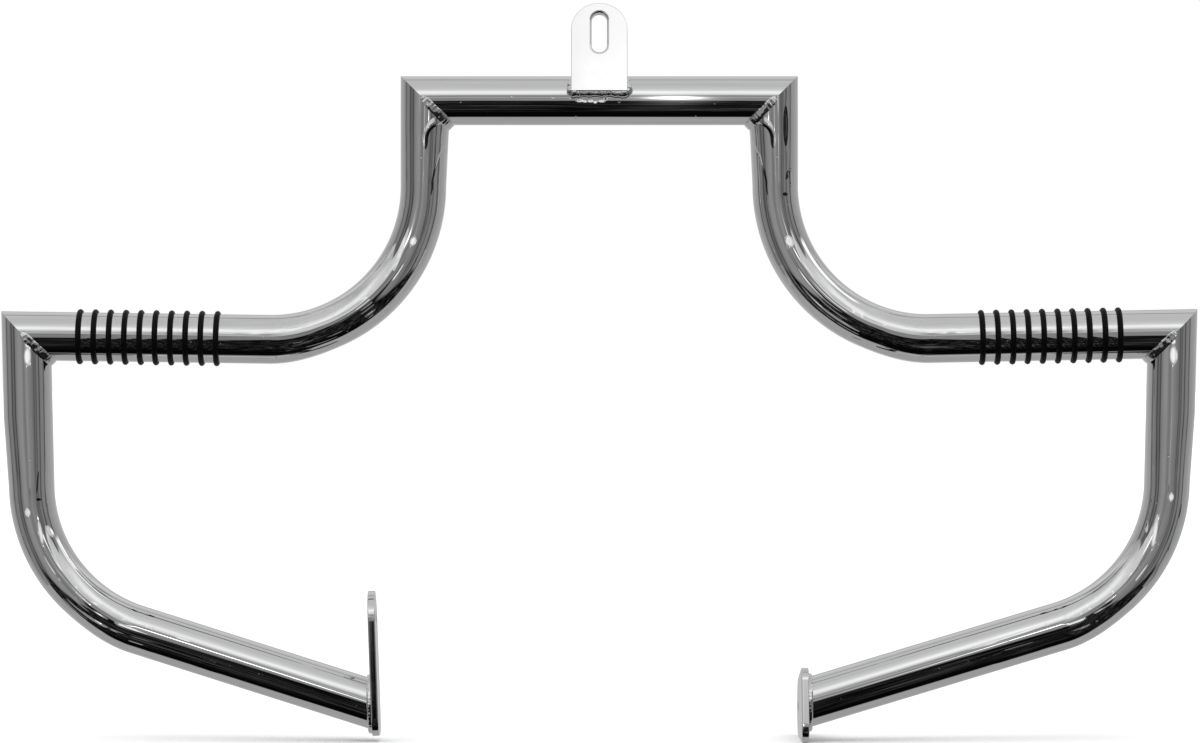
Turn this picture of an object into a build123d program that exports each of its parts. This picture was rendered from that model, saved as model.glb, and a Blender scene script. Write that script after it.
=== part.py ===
from build123d import *
from functools import cache
from math import cos, degrees, radians, sin, tan
import os

# Motorcycle crash bars: a welded frame of bent round tube with a slotted top tab,
# two lower bracket plates and rubber rings on the foot rests.
# Millimetres. Seen from the front, X runs to the right, Y to the back and Z up.
# The frame is drawn about the middle of the crossbar and set down with the tab's slot at the origin.

# Tube stock and bends
tube_diameter = 31.75
tube_wall = 3.0
bend_radius = 99.5
bend_flattening = 2.2
flattening_entry = 38.0
flattening_exit = 42.0

# Frame, along the tubes' axes
crossbar_length = 226.4
shoulder_drop = 156.5
footrest_reach = 259.2
left_footrest_rise = 0.8
right_footrest_rise = 1.1
leg_drop = 169.3
leg_lean = 1.4
left_arm_slope = 17.6
right_arm_slope = 16.8

# Slotted tab, leaning back against the front of the crossbar
tab_width = 36.5
tab_height = 61.1
tab_thickness = 4.8
tab_lean = 18.0
tab_foot = 1.0
tab_clearance = 0.05
slot_width = 10.0
slot_length = 27.0
slot_height = 40.8
slot_edge_radius = 2.0

# Lower brackets
bracket_thickness = 4.8
bracket_hole = 10.5
left_bracket_offset = 147.9
left_bracket_tilt = 2.0
left_bracket_width = 38.1
left_bracket_rise = 54.5
left_bracket_foot = 20.4
left_bracket_corner = 12.0
right_bracket_offset = 135.7
right_bracket_above = 22.9
right_bracket_below = 24.6
right_bracket_front = 20.3
right_bracket_lean = 15.0
right_bracket_corner = 10.0
right_bracket_back = 45.0
right_bracket_end_radius = 19.0

# Rubber rings in turned grooves
ring_count = 10
ring_pitch = 9.9
ring_section = 3.7
ring_groove_depth = 1.6
ring_setback = 35.0
ring_clearance = 0.05

# Weld beads
mitre_bead_height = 1.2
mitre_bead_width = 5.2
mitre_bead_shift = 2.6
bracket_bead = 3.0
tab_bead = 3.0
tab_bead_depth = 1.4
tab_bead_corner = 3.8
tab_bead_climb = 10.0
tab_bead_tip = 1.8

# Sizes that follow
tube_radius = tube_diameter / 2
bore_radius = tube_radius - tube_wall
half_crossbar = crossbar_length / 2
spare = 4 * tube_diameter
sides = {"left": -1, "right": 1}
footrest_rise = {"left": left_footrest_rise, "right": right_footrest_rise}
arm_slope = {"left": left_arm_slope, "right": right_arm_slope}
bracket_offset = {"left": left_bracket_offset, "right": right_bracket_offset}
bracket_tilt = {"left": left_bracket_tilt, "right": 0.0}
ring_radius = tube_radius - ring_groove_depth + ring_section / 2
tab_normal = Vector(0, -cos(radians(tab_lean)), sin(radians(tab_lean)))
tab_plane = Plane(tab_normal * (tube_radius + tab_clearance), x_dir=(1, 0, 0), z_dir=tab_normal)
slot_centre = tab_plane.from_local_coords((0, slot_height - tab_foot, 0))


def corners(side):
    """Corner points of one half of the frame's axis, from the crossbar to beyond the bracket."""
    turn = sides[side]
    upper = Vector(turn * half_crossbar, 0, 0)
    shoulder = upper - Vector(0, 0, shoulder_drop)
    outer = shoulder + Vector(turn * footrest_reach, 0, footrest_reach * tan(radians(footrest_rise[side])))
    lower = outer - Vector(turn * leg_drop * tan(radians(leg_lean)), 0, leg_drop)
    run = abs(lower.X) - bracket_offset[side]
    arm_end = lower - Vector(turn * run, 0, run * tan(radians(arm_slope[side])))
    return upper, shoulder, outer, lower, arm_end


def cylinder_between(start, end, radius):
    direction = (end - start).normalized()
    return extrude(Plane(start, z_dir=direction) * Circle(radius), (end - start).length)


def bent_skin(start, corner, end, radius, start_cut, end_cut):
    """Solid of one tube surface: two straight runs cut back to their joints, and the flattened bend."""
    first = (corner - start).normalized()
    second = (end - corner).normalized()
    angle = first.get_angle(second)
    inward = (second - first * first.dot(second)).normalized()
    tangent = bend_radius * tan(radians(angle / 2))
    bend_start = corner - first * tangent
    bend_end = corner + second * tangent
    centre = bend_start + inward * bend_radius
    outward_end = (bend_end - centre).normalized()
    squeeze = bend_flattening / 2

    def round_section(point, direction, outward):
        return Plane(point, x_dir=outward, z_dir=direction) * Circle(radius)

    def oval_section(point, direction, outward):
        plane = Plane(point - outward * squeeze, x_dir=outward, z_dir=direction)
        return plane * Ellipse(radius - squeeze, radius + squeeze)

    ease_start = bend_start - first * flattening_entry
    bend_axis = Axis(centre, first.cross(second))
    fade_angle = degrees(flattening_exit / bend_radius)
    oval = oval_section(bend_start, first, -inward)
    first_run = cylinder_between(beyond(corner, start), ease_start, radius)
    first_ease = loft([round_section(ease_start, first, -inward), oval])
    bend = revolve(oval, axis=bend_axis, revolution_arc=angle - fade_angle)
    path = Edge.make_circle(bend_radius, Plane(centre, x_dir=-inward, z_dir=bend_axis.direction),
                            start_angle=angle - fade_angle, end_angle=angle)
    fade = sweep(
        [oval.rotate(bend_axis, angle - fade_angle), round_section(bend_end, second, outward_end)],
        path=path, multisection=True)
    last_run = cylinder_between(bend_end, beyond(corner, end), radius)
    first_part = keep_after(first_run.fuse(first_ease), start_cut)
    last_part = keep_before(last_run, end_cut)
    return first_part.fuse(bend, fade, last_part)


def mitre(before, corner, after):
    """Plane that halves the angle at a corner: Z faces the tube before it, X the inside of the corner."""
    toward = (before - corner).normalized()
    away = (after - corner).normalized()
    return Plane(corner, x_dir=toward + away, z_dir=toward - away)


def bracket_face(side):
    """Plane of a bracket's tube side: Z faces the tube and Y runs up the plate."""
    turn = sides[side]
    tilt = radians(bracket_tilt[side])
    return Plane(corners(side)[-1], x_dir=(0, turn, 0), z_dir=(turn * cos(tilt), 0, -sin(tilt)))


def keep_before(solid, plane):
    return split(solid, bisect_by=plane, keep=Keep.TOP)


def keep_after(solid, plane):
    return split(solid, bisect_by=plane, keep=Keep.BOTTOM)


def beyond(start, end):
    """A point past the end of a run, so that the tube can be cut back to its joint."""
    return end + (end - start).normalized() * spare


def upper_mitre(side):
    upper, shoulder, *_ = corners(side)
    return mitre(Vector(0, 0, 0), upper, shoulder)


def outer_mitre(side):
    _, shoulder, outer, lower, _ = corners(side)
    return mitre(shoulder, outer, lower)


@cache
def crossbar_skin(radius):
    left, right = corners("left")[0], corners("right")[0]
    bar = cylinder_between(beyond(right, left), beyond(left, right), radius)
    for side in sides:
        bar = keep_before(bar, upper_mitre(side))
    return bar


@cache
def shoulder_skin(side, radius):
    upper, shoulder, outer, *_ = corners(side)
    return bent_skin(upper, shoulder, outer, radius, upper_mitre(side), outer_mitre(side))


@cache
def lower_skin(side, radius):
    _, _, outer, lower, arm_end = corners(side)
    return bent_skin(outer, lower, arm_end, radius, outer_mitre(side), bracket_face(side))


def ring_planes(side):
    """Planes of the rings along a foot rest, from the outer corner inwards."""
    _, shoulder, outer, *_ = corners(side)
    along = (shoulder - outer).normalized()
    return [Plane(outer + along * (ring_setback + i * ring_pitch), z_dir=along) for i in range(ring_count)]


def rubber_ring(plane):
    return plane * Torus(ring_radius, ring_section / 2)


def groove(plane):
    return plane * Torus(ring_radius, ring_section / 2 + ring_clearance)


def crossbar():
    return crossbar_skin(tube_radius) - crossbar_skin(bore_radius)


def shoulder_tube(side):
    bar = shoulder_skin(side, tube_radius) - shoulder_skin(side, bore_radius)
    return bar.cut(*[groove(plane) for plane in ring_planes(side)])


def lower_tube(side):
    return lower_skin(side, tube_radius) - lower_skin(side, bore_radius)


def top_tab():
    """Round-topped plate whose back touches the front of the crossbar, with a slot eased at its front rim."""
    round_centre = tab_height - tab_foot - tab_width / 2
    stem = Pos(0, (round_centre - tab_foot) / 2) * Rectangle(tab_width, round_centre + tab_foot)
    outline = stem + Pos(0, round_centre) * Circle(tab_width / 2)
    slot = Pos(0, slot_height - tab_foot) * SlotOverall(slot_length, slot_width, rotation=90)
    plate = extrude(outline - slot, tab_thickness)
    rim = plate.faces().sort_by(Axis.Z)[-1].inner_wires()[0].edges()
    return tab_plane * fillet(rim, slot_edge_radius)


def rounded_hull(points, radii):
    """Convex outline round a set of corner circles."""
    return make_hull([Edge.make_circle(radius, Plane(point)) for point, radius in zip(points, radii)])


def left_bracket():
    """Upright plate with a round upper end about its bolt hole."""
    upper_radius = left_bracket_width / 2
    side = upper_radius - left_bracket_corner
    foot = left_bracket_foot - left_bracket_corner
    outline = rounded_hull(
        [(0, left_bracket_rise), (-side, -foot), (side, -foot)],
        [upper_radius, left_bracket_corner, left_bracket_corner],
    )
    outline -= Pos(0, left_bracket_rise) * Circle(bracket_hole / 2)
    return bracket_face("left") * extrude(outline, -bracket_thickness)


def right_bracket():
    """Plate with a leaning front edge, tapering back to a round end about its bolt hole."""
    corner = right_bracket_corner
    lean = radians(right_bracket_lean)
    front = corner / cos(lean) - right_bracket_front
    top = right_bracket_above - corner
    bottom = corner - right_bracket_below
    back = (right_bracket_back, right_bracket_end_radius - right_bracket_below)
    outline = rounded_hull(
        [(front + top * tan(lean), top), (front + bottom * tan(lean), bottom), back],
        [corner, corner, right_bracket_end_radius],
    )
    outline -= Pos(*back) * Circle(bracket_hole / 2)
    return bracket_face("right") * extrude(outline, -bracket_thickness)


def bead_ring(plane, long_radius, short_radius, height, half_width):
    """Closed bead of oval section along an ellipse in the plane."""
    path = Edge.make_ellipse(long_radius, short_radius, plane)
    start = Plane(path @ 0, x_dir=plane.x_dir, z_dir=path % 0)
    return sweep(start * Ellipse(height, half_width), path=path)


def mitre_weld(plane, first_skin, second_skin, along):
    """Bead that fills the inside of a mitred corner and sinks away round its outside."""
    long_radius = tube_radius / sin(radians(plane.x_dir.get_angle(along)))
    shifted = Plane(plane.origin + plane.x_dir * mitre_bead_shift, x_dir=plane.x_dir, z_dir=plane.z_dir)
    bead = bead_ring(shifted, long_radius, tube_radius, mitre_bead_height, mitre_bead_width / 2)
    return bead - first_skin - second_skin


def bracket_weld(side):
    """Fillet bead round the end of an arm where it meets its plate."""
    *_, lower, arm_end = corners(side)
    plane = bracket_face(side)
    upright = Plane(plane.origin, x_dir=plane.y_dir, z_dir=plane.z_dir)
    long_radius = tube_radius / cos(radians(plane.z_dir.get_angle(lower - arm_end)))
    bead = bead_ring(upright, long_radius, tube_radius, bracket_bead, bracket_bead)
    arm = cylinder_between(beyond(lower, arm_end), beyond(arm_end, lower), tube_radius)
    return keep_before(bead, plane) - arm


def tab_weld(plate):
    """Bead under the tab's foot that tapers away up both its edges, with a blob at each corner."""
    bead = Pos(0, -tab_foot, tab_bead_depth) * Rot(0, 90, 0) * Cylinder(tab_bead, tab_width)
    for turn in sides.values():
        corner = Pos(turn * tab_width / 2, -tab_foot)
        climb = Pos(0, tab_bead_climb / 2) * Rot(-90, 0, 0) * Cone(tab_bead, tab_bead_tip, tab_bead_climb)
        bead = bead.fuse(corner * climb, corner * Sphere(tab_bead_corner))
    return tab_plane * bead - crossbar_skin(tube_radius) - plate


def build():
    nodes = {"crossbar": crossbar(), "top_tab": top_tab()}
    nodes["left_bracket"] = left_bracket()
    nodes["right_bracket"] = right_bracket()
    nodes["tab_weld"] = tab_weld(nodes["top_tab"])
    for side in sides:
        upper, shoulder, outer, *_ = corners(side)
        nodes[f"{side}_shoulder_tube"] = shoulder_tube(side)
        nodes[f"{side}_lower_tube"] = lower_tube(side)
        shoulder_outside = shoulder_skin(side, tube_radius)
        nodes[f"{side}_upper_weld"] = mitre_weld(
            upper_mitre(side), crossbar_skin(tube_radius), shoulder_outside, shoulder - upper)
        nodes[f"{side}_corner_weld"] = mitre_weld(
            outer_mitre(side), shoulder_outside, lower_skin(side, tube_radius), shoulder - outer)
        nodes[f"{side}_bracket_weld"] = bracket_weld(side)
        for number, plane in enumerate(ring_planes(side), start=1):
            nodes[f"{side}_ring_{number}"] = rubber_ring(plane)
    return nodes


os.makedirs("parts", exist_ok=True)
for name, solid in build().items():
    export_step(solid.moved(Location(-slot_centre)), f"parts/{name}.step")
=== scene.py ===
import bpy
import bmesh
from math import atan2, cos, hypot, pi, radians, sin, sqrt, tan
from mathutils import Matrix, Vector, noise


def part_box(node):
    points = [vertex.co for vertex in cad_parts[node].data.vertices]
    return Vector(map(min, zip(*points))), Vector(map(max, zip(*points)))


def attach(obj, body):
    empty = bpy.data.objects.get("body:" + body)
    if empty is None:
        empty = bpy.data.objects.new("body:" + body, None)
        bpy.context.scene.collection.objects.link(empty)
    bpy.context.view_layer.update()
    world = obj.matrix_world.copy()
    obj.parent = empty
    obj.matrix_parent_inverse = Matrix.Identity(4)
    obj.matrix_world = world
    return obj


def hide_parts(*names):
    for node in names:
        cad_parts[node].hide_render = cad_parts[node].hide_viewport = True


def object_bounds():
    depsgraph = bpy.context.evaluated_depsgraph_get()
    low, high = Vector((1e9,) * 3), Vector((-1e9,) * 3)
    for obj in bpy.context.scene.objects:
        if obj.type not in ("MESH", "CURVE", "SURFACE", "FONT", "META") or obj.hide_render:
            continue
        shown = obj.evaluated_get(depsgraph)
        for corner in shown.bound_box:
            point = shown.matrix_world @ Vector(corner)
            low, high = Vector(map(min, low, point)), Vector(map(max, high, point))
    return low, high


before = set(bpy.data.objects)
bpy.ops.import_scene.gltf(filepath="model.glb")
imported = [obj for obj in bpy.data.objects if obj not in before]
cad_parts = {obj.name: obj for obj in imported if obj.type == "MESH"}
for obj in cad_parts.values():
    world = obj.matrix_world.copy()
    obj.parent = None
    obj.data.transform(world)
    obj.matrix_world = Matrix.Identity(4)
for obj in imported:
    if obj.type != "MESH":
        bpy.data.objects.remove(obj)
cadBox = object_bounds()
print("frame loaded,", len(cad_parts), "nodes")

# what the whole bar shares, in metres and degrees
bar = {
    "segments": 144,  # round every tube
    "shoulderDrop": 0.1565,
    "footrestReach": 0.2592,
    "footrestRise": {"left": 0.8, "right": 1.1},
    "legDrop": 0.1693,
    "legLean": 1.4,
    "armSlope": {"left": 17.6, "right": 16.8},
    "bracketOffset": {"left": 0.1479, "right": 0.1357},
    "bracketTilt": {"left": 2.0, "right": 0.0},
}
sides = {"left": -1, "right": 1}
crossLow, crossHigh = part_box("crossbar")
tubeRadius = (crossHigh.y - crossLow.y) / 2
crossCentre = (crossLow + crossHigh) / 2
sideways = Vector((0, 1, 0))  # across the plane that all tubes lie in
hair = 0.00001  # for picking points and for keeping off a full round
mergeGap = 0.000002  # points closer than this are one


def cornersOf(side):  # the axis of one half, from the crossbar to the bracket
    turn = sides[side]
    upper = Vector((turn * (crossHigh.x - tubeRadius), crossCentre.y, crossCentre.z))
    shoulder = upper - Vector((0, 0, bar["shoulderDrop"]))
    reach = bar["footrestReach"]
    outer = shoulder + Vector((turn * reach, 0, reach * tan(radians(bar["footrestRise"][side]))))
    drop = bar["legDrop"]
    lower = outer - Vector((turn * drop * tan(radians(bar["legLean"])), 0, drop))
    run = abs(lower.x) - bar["bracketOffset"][side]
    armEnd = lower - Vector((turn * run, 0, run * tan(radians(bar["armSlope"][side]))))
    return upper, shoulder, outer, lower, armEnd


def mitreNormal(before, corner, after):  # normal of the plane that halves a corner
    return ((before - corner).normalized() - (after - corner).normalized()).normalized()


def bracketNormal(side):  # faces the tube that ends on the plate
    tilt = radians(bar["bracketTilt"][side])
    return Vector((sides[side] * cos(tilt), 0, -sin(tilt)))


def frameOf(origin, across, normal):  # matrix with x across and z along the normal
    up = normal.cross(across)
    turned = Matrix((across, up, normal)).transposed().to_4x4()
    return Matrix.Translation(origin) @ turned


# small steps that every piece uses

def deselectAll():
    bpy.ops.object.select_all(action="DESELECT")


def nameIt(name):  # the object that an operator has just added
    piece = bpy.context.object
    piece.name = name
    piece.data.name = name
    return piece


def applyPlace():
    bpy.ops.object.transform_apply(location=True, rotation=True, scale=True)


def pickOnly(piece):
    deselectAll()
    piece.select_set(True)
    bpy.context.view_layer.objects.active = piece


def moveInto(piece, matrix):  # from the piece's own axes to its place on the bar
    piece.matrix_world = matrix
    pickOnly(piece)
    applyPlace()


def editMode(on):
    bpy.ops.object.mode_set(mode="EDIT" if on else "OBJECT")


def selectEdges(piece, wanted):  # by a test on both ends, in edit mode
    bpy.ops.mesh.select_all(action="DESELECT")
    bpy.ops.mesh.select_mode(type="EDGE")
    mesh = bmesh.from_edit_mesh(piece.data)
    for edge in mesh.edges:
        edge.select = wanted(edge.verts[0].co, edge.verts[1].co)
    bmesh.update_edit_mesh(piece.data)


def closeMesh(smoothAngle):  # leaves edit mode with the mesh merged, turned outwards and smoothed
    bpy.ops.mesh.select_mode(type="VERT")
    bpy.ops.mesh.select_all(action="SELECT")
    bpy.ops.mesh.remove_doubles(threshold=mergeGap)
    bpy.ops.mesh.select_all(action="SELECT")
    bpy.ops.mesh.normals_make_consistent(inside=False)
    editMode(False)
    bpy.ops.object.shade_smooth_by_angle(angle=radians(smoothAngle))


def applyModifier(piece, kind, **settings):
    modifier = piece.modifiers.new(kind.title(), kind)
    for key, value in settings.items():
        setattr(modifier, key, value)
    pickOnly(piece)
    bpy.ops.object.modifier_apply(modifier=modifier.name)


def movePoints(piece, shift):  # shift gives each point's new place
    for vert in piece.data.vertices:
        vert.co = shift(vert.co)
    piece.data.update()


def turnedTo(direction):
    return direction.to_track_quat("Z", "Y").to_euler()


def ease(share):
    share = min(max(share, 0.0), 1.0)
    return share * share * (3 - 2 * share)


def between(share, first, second):
    return first + (second - first) * share


def finishPiece(piece, material, node):
    piece.data.materials.clear()
    piece.data.materials.append(material)
    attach(piece, "root")
    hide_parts(node)


# shader helpers

def wire(tree, source, socket):
    if isinstance(source, (int, float, tuple)):
        socket.default_value = source
    else:
        tree.links.new(source, socket)


def mathNode(tree, operation, *inputs):
    node = tree.nodes.new("ShaderNodeMath")
    node.operation = operation
    for socket, source in zip(node.inputs, inputs):
        wire(tree, source, socket)
    return node.outputs[0]


def vectorNode(tree, operation, *inputs, output="Vector"):
    node = tree.nodes.new("ShaderNodeVectorMath")
    node.operation = operation
    for socket, source in zip(node.inputs, inputs):
        wire(tree, source, socket)
    return node.outputs[output]


def splitNode(tree, vector):
    node = tree.nodes.new("ShaderNodeSeparateXYZ")
    tree.links.new(vector, node.inputs["Vector"])
    return node.outputs


def stepNode(tree, value, start, end):  # soft step from 0 at start to 1 at end
    node = tree.nodes.new("ShaderNodeMapRange")
    node.interpolation_type = "SMOOTHSTEP"
    wire(tree, value, node.inputs["Value"])
    wire(tree, start, node.inputs["From Min"])
    wire(tree, end, node.inputs["From Max"])
    return node.outputs["Result"]


def bandNode(tree, value, start, end, soft):  # 1 between start and end
    rise = stepNode(tree, value, start - soft, start + soft)
    fall = stepNode(tree, value, end + soft, end - soft)
    return mathNode(tree, "MULTIPLY", rise, fall)


def spotNode(tree, value, centre, width):  # bell curve about the centre
    offset = mathNode(tree, "DIVIDE", mathNode(tree, "SUBTRACT", value, centre), width)
    square = mathNode(tree, "MULTIPLY", offset, offset)
    return mathNode(tree, "EXPONENT", mathNode(tree, "MULTIPLY", square, -1.0))


def blobNode(tree, across, up, place, size):  # the same in two directions
    return mathNode(tree, "MULTIPLY", spotNode(tree, across, place[0], size[0]),
                    spotNode(tree, up, place[1], size[1]))


def mixNode(tree, share, first, second, kind="FLOAT"):
    node = tree.nodes.new("ShaderNodeMix")
    node.data_type = kind
    wire(tree, share, node.inputs["Factor"])
    wire(tree, first, node.inputs["A"])
    wire(tree, second, node.inputs["B"])
    return node.outputs["Result"]


def rampNode(tree, value, stops):  # level at each place, straight between the stops
    low, high = stops[0][0], stops[-1][0]
    scaled = mathNode(tree, "DIVIDE", mathNode(tree, "SUBTRACT", value, low), high - low)
    node = tree.nodes.new("ShaderNodeValToRGB")
    wire(tree, scaled, node.inputs["Fac"])
    elements = node.color_ramp.elements
    while len(elements) < len(stops):
        elements.new(0.5)
    for element, (place, level) in zip(elements, stops):
        element.position = (place - low) / (high - low)
        element.color = (level, level, level, 1)
    return node.outputs["Color"]


def noiseNode(tree, vector, scale, detail=3.0, roughness=0.5):
    node = tree.nodes.new("ShaderNodeTexNoise")
    node.inputs["Scale"].default_value = scale
    node.inputs["Detail"].default_value = detail
    node.inputs["Roughness"].default_value = roughness
    tree.links.new(vector, node.inputs["Vector"])
    return node.outputs["Fac"]


def stretchedNoise(tree, vector, factors, detail=3.0, roughness=0.5):  # its scale is in the factors
    return noiseNode(tree, vectorNode(tree, "MULTIPLY", vector, factors), 1.0, detail, roughness)


def objectPlace(tree):
    return tree.nodes.new("ShaderNodeTexCoord").outputs["Object"]


def attributeNode(tree, name, output):
    node = tree.nodes.new("ShaderNodeAttribute")
    node.attribute_name = name
    return node.outputs[output]


def bumpNode(tree, height, distance):
    node = tree.nodes.new("ShaderNodeBump")
    node.inputs["Strength"].default_value = 1.0
    node.inputs["Distance"].default_value = distance
    tree.links.new(height, node.inputs["Height"])
    return node.outputs["Normal"]


def newMaterial(name):
    material = bpy.data.materials.new(name)
    material.use_nodes = True
    return material, material.node_tree, material.node_tree.nodes["Principled BSDF"]


# studio that the chrome mirrors, in degrees round from the front and up from level
studio = {
    "backdrop": 1.0,
    "fill": 0.95,  # what lights the floor and the rubber
    "gain": 1.14,  # makes up for what chrome takes
    "walls": [(-180, 0.42), (-150, 0.40), (-130, 0.33), (-113, 0.30), (-106, 0.22), (-102, 0.06),
              (-97, 0.17), (-84, 0.20), (-77, 0.15), (-72, 0.04), (-67, 0.13), (-61, 0.13), (-56, 0.04),
              (-51, 0.17), (-38, 0.24), (-22, 0.25), (-11, 0.16), (0, 0.24), (14, 0.20), (29, 0.16),
              (35, 0.07), (39, 0.15), (45, 0.08), (49, 0.18), (57, 0.17), (61, 0.03), (66, 0.19),
              (81, 0.20), (86, 0.05), (91, 0.25), (130, 0.34), (180, 0.42)],
    "ceiling": [(0, 0.30), (13, 0.36), (16, 0.50), (20, 0.60), (26, 0.63), (31, 0.70), (36, 0.86),
                (40, 0.90), (44, 0.80), (50, 0.62), (58, 0.53), (68, 0.49), (90, 0.485)],
    "ceilingFade": [(0, 1.0), (36, 0.95), (60, 0.78), (78, 0.55), (100, 0.56), (130, 0.62), (180, 0.76)],
    "fadeTo": (46, 62),  # the fade is gone overhead
    "gap": {"width": 9.0, "low": 14, "high": 26, "soft": 2.5, "shade": 0.60},  # darker straight ahead
    "ceilingEdge": (13.5, 27.0),  # lower edge, in front and at the sides
    "ceilingTurn": (46, 60),
    "ceilingSoft": (-1.5, 1.5),
    "strip": {"end": (48.5, 45.5), "high": 3.2, "soft": 0.6, "level": 0.16},  # along the ceiling's front edge
    "beam": {"from": 0.42, "to": 0.51, "soft": 0.02, "shade": 0.6},  # by the slope y/z, behind
    "floorEdge": [(0, 0.008), (3, 0.014), (6, 0.06), (10, 0.125), (16, 0.20), (26, 0.27), (45, 0.32),
                  (70, 0.32), (90, 0.36), (180, 0.36)],  # of 90 degrees down
    "floorSoft": 2.0,
    "floorLevel": 0.0015,
    "floorPatch": 0.15,
    "patchStretch": (34, 15, 15),
    "patchEdge": (0.46, 0.86),
    "floorDeep": (-62, -44),  # the patches are gone straight below
    "tableLevel": 0.32,
    "tableSlope": (-0.14, -0.03),
    "tableSide": (86, 98),
    "unevenStretch": (26, 26, 16),
    "uneven": (0.9, 0.55),  # how far the light varies, and its least
    "mottle": (5.0, 0.75),  # detail and roughness of the patches and the uneven light
    "glow": {"high": 14, "reach": 36, "core": 8, "level": 0.46},  # the white backdrop, straight behind
    "window": {"from": 81, "to": 103, "sideSoft": 1.5, "low": 24, "high": 57, "soft": 2.0, "level": 1.0},
    "hollow": {"place": (92, -11), "size": (4.2, 2.9), "edge": (0.35, 0.60), "shade": 0.95},
    "lamps": [  # place, half sizes, level
        ((0.85, 12), (0.23, 5.0), 4.0),
        ((0.85, 12), (0.37, 22.0), 0.22),
        ((-27, 11.5), (1.8, 3.2), 1.8),
        ((20, 9), (1.6, 2.6), 1.8),
        ((5.2, -42), (2.2, 4.0), 0.10),
    ],
}


def buildStudio():
    world = bpy.data.worlds.new("studio")
    bpy.context.scene.world = world
    world.use_nodes = True
    tree = world.node_tree
    tree.nodes.clear()
    place = tree.nodes.new("ShaderNodeTexCoord").outputs["Generated"]
    x, y, z = splitNode(tree, place)
    nearLevel = 0.001  # keeps the slopes finite
    azimuth = mathNode(tree, "ARCTAN2", x, mathNode(tree, "MULTIPLY", y, -1))
    azimuth = mathNode(tree, "MULTIPLY", azimuth, 180 / pi)
    elevation = mathNode(tree, "MULTIPLY", mathNode(tree, "ARCSINE", z), 180 / pi)
    side = mathNode(tree, "ABSOLUTE", azimuth)

    # walls, ceiling with its strip of lamps, and a beam across the back
    walls = rampNode(tree, azimuth, studio["walls"])
    fade = mixNode(tree, stepNode(tree, elevation, *studio["fadeTo"]),
                   rampNode(tree, side, studio["ceilingFade"]), 1.0)
    ceiling = mathNode(tree, "MULTIPLY", rampNode(tree, elevation, studio["ceiling"]), fade)
    gap = studio["gap"]
    shade = mathNode(tree, "MULTIPLY", spotNode(tree, azimuth, 0.0, gap["width"]),
                     bandNode(tree, elevation, gap["low"], gap["high"], gap["soft"]))
    ceiling = mathNode(tree, "MULTIPLY", ceiling, mathNode(tree, "MULTIPLY_ADD", shade, -gap["shade"], 1.0))
    edge = mixNode(tree, stepNode(tree, side, *studio["ceilingTurn"]), *studio["ceilingEdge"])
    above = mathNode(tree, "SUBTRACT", elevation, edge)
    strip = studio["strip"]
    lamps = mathNode(tree, "MULTIPLY", stepNode(tree, side, *strip["end"]),
                     bandNode(tree, above, 0, strip["high"], strip["soft"]))
    ceiling = mathNode(tree, "MULTIPLY_ADD", lamps, strip["level"], ceiling)
    beam = studio["beam"]
    slope = mathNode(tree, "DIVIDE", y, mathNode(tree, "MAXIMUM", z, nearLevel))
    shade = bandNode(tree, slope, beam["from"], beam["to"], beam["soft"])
    shade = mathNode(tree, "MULTIPLY", shade, beam["shade"])
    ceiling = mathNode(tree, "MULTIPLY", ceiling, mathNode(tree, "SUBTRACT", 1.0, shade))
    upper = mixNode(tree, stepNode(tree, above, *studio["ceilingSoft"]), walls, ceiling)

    # dark floor in front, with paler patches, and a pale table below and behind
    patches = stretchedNoise(tree, place, studio["patchStretch"], *studio["mottle"])
    floor = mathNode(tree, "MULTIPLY", stepNode(tree, patches, *studio["patchEdge"]), studio["floorPatch"])
    floor = mathNode(tree, "MULTIPLY", floor, stepNode(tree, elevation, *studio["floorDeep"]))
    floor = mathNode(tree, "ADD", floor, studio["floorLevel"])
    down = mathNode(tree, "MAXIMUM", mathNode(tree, "MULTIPLY", z, -1), nearLevel)
    table = stepNode(tree, mathNode(tree, "DIVIDE", y, down), *studio["tableSlope"])
    table = mathNode(tree, "MAXIMUM", table, stepNode(tree, side, *studio["tableSide"]))
    lower = mixNode(tree, table, floor, studio["tableLevel"])
    edge = mathNode(tree, "MULTIPLY", rampNode(tree, side, studio["floorEdge"]), -90.0)
    soft = studio["floorSoft"]
    below = stepNode(tree, mathNode(tree, "SUBTRACT", elevation, edge), soft, -soft)
    room = mixNode(tree, below, upper, lower)

    # uneven light, then the backdrop, the window, a dark hollow and the lamps
    uneven = stretchedNoise(tree, place, studio["unevenStretch"], *studio["mottle"])
    room = mathNode(tree, "MULTIPLY", room, mathNode(tree, "MULTIPLY_ADD", uneven, *studio["uneven"]))
    glow = studio["glow"]
    behind = (0, cos(radians(glow["high"])), sin(radians(glow["high"])))
    toward = vectorNode(tree, "DOT_PRODUCT", place, behind, output="Value")
    share = stepNode(tree, toward, cos(radians(glow["reach"])), cos(radians(glow["core"])))
    room = mixNode(tree, share, room, glow["level"])
    window = studio["window"]
    across = bandNode(tree, azimuth, window["from"], window["to"], window["sideSoft"])
    high = bandNode(tree, elevation, window["low"], window["high"], window["soft"])
    room = mixNode(tree, mathNode(tree, "MULTIPLY", across, high), room, window["level"])
    hollow = studio["hollow"]
    share = blobNode(tree, azimuth, elevation, hollow["place"], hollow["size"])
    share = mathNode(tree, "MULTIPLY", stepNode(tree, share, *hollow["edge"]), hollow["shade"])
    room = mixNode(tree, share, room, 0.0)
    for *shape, level in studio["lamps"]:
        room = mathNode(tree, "MULTIPLY_ADD", blobNode(tree, azimuth, elevation, *shape), level, room)
    room = mathNode(tree, "MULTIPLY", room, studio["gain"])

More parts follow.
